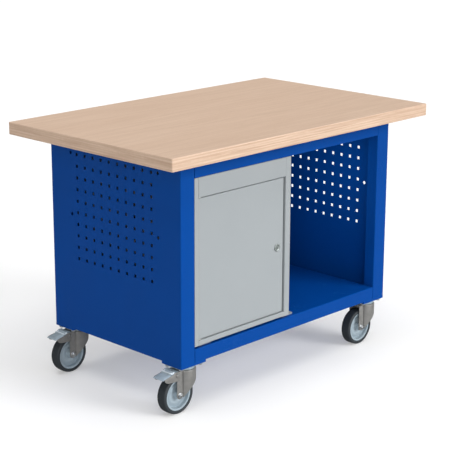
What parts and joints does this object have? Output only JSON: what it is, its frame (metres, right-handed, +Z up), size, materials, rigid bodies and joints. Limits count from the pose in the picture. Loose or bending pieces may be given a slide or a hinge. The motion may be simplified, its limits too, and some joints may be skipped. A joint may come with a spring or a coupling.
{
  "type": "mobile workbench",
  "caption": "Wheeled workbench: plywood top, folded steel frame with perforated side panels, lockable cupboard, open bay, casters",
  "frame": {"origin": "on the floor, under the middle of the worktop", "axes": "+X to the right along the bench, +Y to the back, +Z up"},
  "size_m": [1.2, 0.75, 0.842],
  "materials": {
    "plywood": "multiplex plywood, sanded and lacquered",
    "blue_paint": "powder coat, semi-gloss",
    "grey_paint": "powder coat, satin",
    "zinc_plate": "pressed sheet, zinc-plated",
    "bolt_steel": "zinc-plated",
    "lock_nickel": "nickel-plated",
    "rim_plastic": "moulded, fine grain",
    "tyre_rubber": "soft rubber, dark grey",
    "washer_plastic": "natural nylon",
    "buffer_rubber": "soft rubber"
  },
  "bodies": {
    "bench": {"worktop": "plywood", "side_panel_left": "blue_paint", "side_panel_right": "blue_paint", "front_apron": "blue_paint", "rear_apron": "blue_paint", "apron_end_plates": "blue_paint", "back_panel": "blue_paint", "bottom_tray": "blue_paint", "corner_plates": "blue_paint", "cupboard_side_left": "grey_paint", "cupboard_side_right": "grey_paint", "cupboard_back": "grey_paint", "cupboard_roof": "grey_paint", "cupboard_floor": "grey_paint", "cupboard_shelf": "grey_paint", "cupboard_feet": "grey_paint", "frame_bolts": "bolt_steel", "caster_bolts": "bolt_steel", "panel_screws": "bolt_steel", "worktop_screws": "bolt_steel", "foot_screws": "bolt_steel", "kingpins": "bolt_steel", "shelf_clips": "bolt_steel", "pivot_washers": "washer_plastic", "front_left_caster_plate": "zinc_plate", "front_left_swivel_race": "zinc_plate", "rear_left_caster_plate": "zinc_plate", "rear_left_swivel_race": "zinc_plate", "front_right_caster_plate": "zinc_plate", "front_right_swivel_race": "zinc_plate", "rear_right_caster_plate": "zinc_plate", "rear_right_swivel_race": "zinc_plate"},
    "door": {"door_panel": "grey_paint", "door_pins": "bolt_steel", "door_buffers": "buffer_rubber", "lock_housing": "lock_nickel", "lock_nut": "bolt_steel"},
    "lock": {"lock_plug": "lock_nickel", "lock_cam": "bolt_steel", "lock_screw": "bolt_steel"},
    "front_left_swivel": {"front_left_fork": "zinc_plate", "front_left_axle": "bolt_steel", "front_left_brake_pin": "bolt_steel"},
    "front_left_wheel": {"front_left_rim": "rim_plastic", "front_left_tyre": "tyre_rubber"},
    "front_left_brake": {"front_left_brake_pedal": "zinc_plate"},
    "rear_left_swivel": {"rear_left_fork": "zinc_plate", "rear_left_axle": "bolt_steel", "rear_left_brake_pin": "bolt_steel"},
    "rear_left_wheel": {"rear_left_rim": "rim_plastic", "rear_left_tyre": "tyre_rubber"},
    "rear_left_brake": {"rear_left_brake_pedal": "zinc_plate"},
    "front_right_swivel": {"front_right_fork": "zinc_plate", "front_right_axle": "bolt_steel"},
    "front_right_wheel": {"front_right_rim": "rim_plastic", "front_right_tyre": "tyre_rubber"},
    "rear_right_swivel": {"rear_right_fork": "zinc_plate", "rear_right_axle": "bolt_steel"},
    "rear_right_wheel": {"rear_right_rim": "rim_plastic", "rear_right_tyre": "tyre_rubber"}
  },
  "joints": [
    {"name": "door_hinge", "type": "hinge", "parent": "bench", "child": "door", "pos_m": [-0.405, -0.283, 0.455], "axis": [0, 0, -1], "range_deg": [0, 95]},
    {"name": "lock_turn", "type": "hinge", "parent": "door", "child": "lock", "pos_m": [-0.0615, -0.283, 0.452], "axis": [0, -1, 0], "range_deg": [0, 90]},
    {"name": "front_left_swivel_turn", "type": "hinge", "parent": "bench", "child": "front_left_swivel", "pos_m": [-0.4405, -0.254, 0.14], "axis": [0, 0, 1], "continuous": true},
    {"name": "front_left_wheel_roll", "type": "hinge", "parent": "front_left_swivel", "child": "front_left_wheel", "pos_m": [-0.4785, -0.254, 0.0625], "axis": [0, 1, 0], "continuous": true},
    {"name": "front_left_brake_press", "type": "hinge", "parent": "front_left_swivel", "child": "front_left_brake", "pos_m": [-0.4925, -0.254, 0.131], "axis": [0, -1, 0], "range_deg": [0, 8]},
    {"name": "rear_left_swivel_turn", "type": "hinge", "parent": "bench", "child": "rear_left_swivel", "pos_m": [-0.4405, 0.254, 0.14], "axis": [0, 0, 1], "continuous": true},
    {"name": "rear_left_wheel_roll", "type": "hinge", "parent": "rear_left_swivel", "child": "rear_left_wheel", "pos_m": [-0.4785, 0.254, 0.0625], "axis": [0, 1, 0], "continuous": true},
    {"name": "rear_left_brake_press", "type": "hinge", "parent": "rear_left_swivel", "child": "rear_left_brake", "pos_m": [-0.4925, 0.254, 0.131], "axis": [0, -1, 0], "range_deg": [0, 8]},
    {"name": "front_right_swivel_turn", "type": "hinge", "parent": "bench", "child": "front_right_swivel", "pos_m": [0.4405, -0.254, 0.14], "axis": [0, 0, 1], "continuous": true},
    {"name": "front_right_wheel_roll", "type": "hinge", "parent": "front_right_swivel", "child": "front_right_wheel", "pos_m": [0.4025, -0.254, 0.0625], "axis": [0, 1, 0], "continuous": true},
    {"name": "rear_right_swivel_turn", "type": "hinge", "parent": "bench", "child": "rear_right_swivel", "pos_m": [0.4405, 0.254, 0.14], "axis": [0, 0, 1], "continuous": true},
    {"name": "rear_right_wheel_roll", "type": "hinge", "parent": "rear_right_swivel", "child": "rear_right_wheel", "pos_m": [0.4025, 0.254, 0.0625], "axis": [0, 1, 0], "continuous": true}
  ]
}
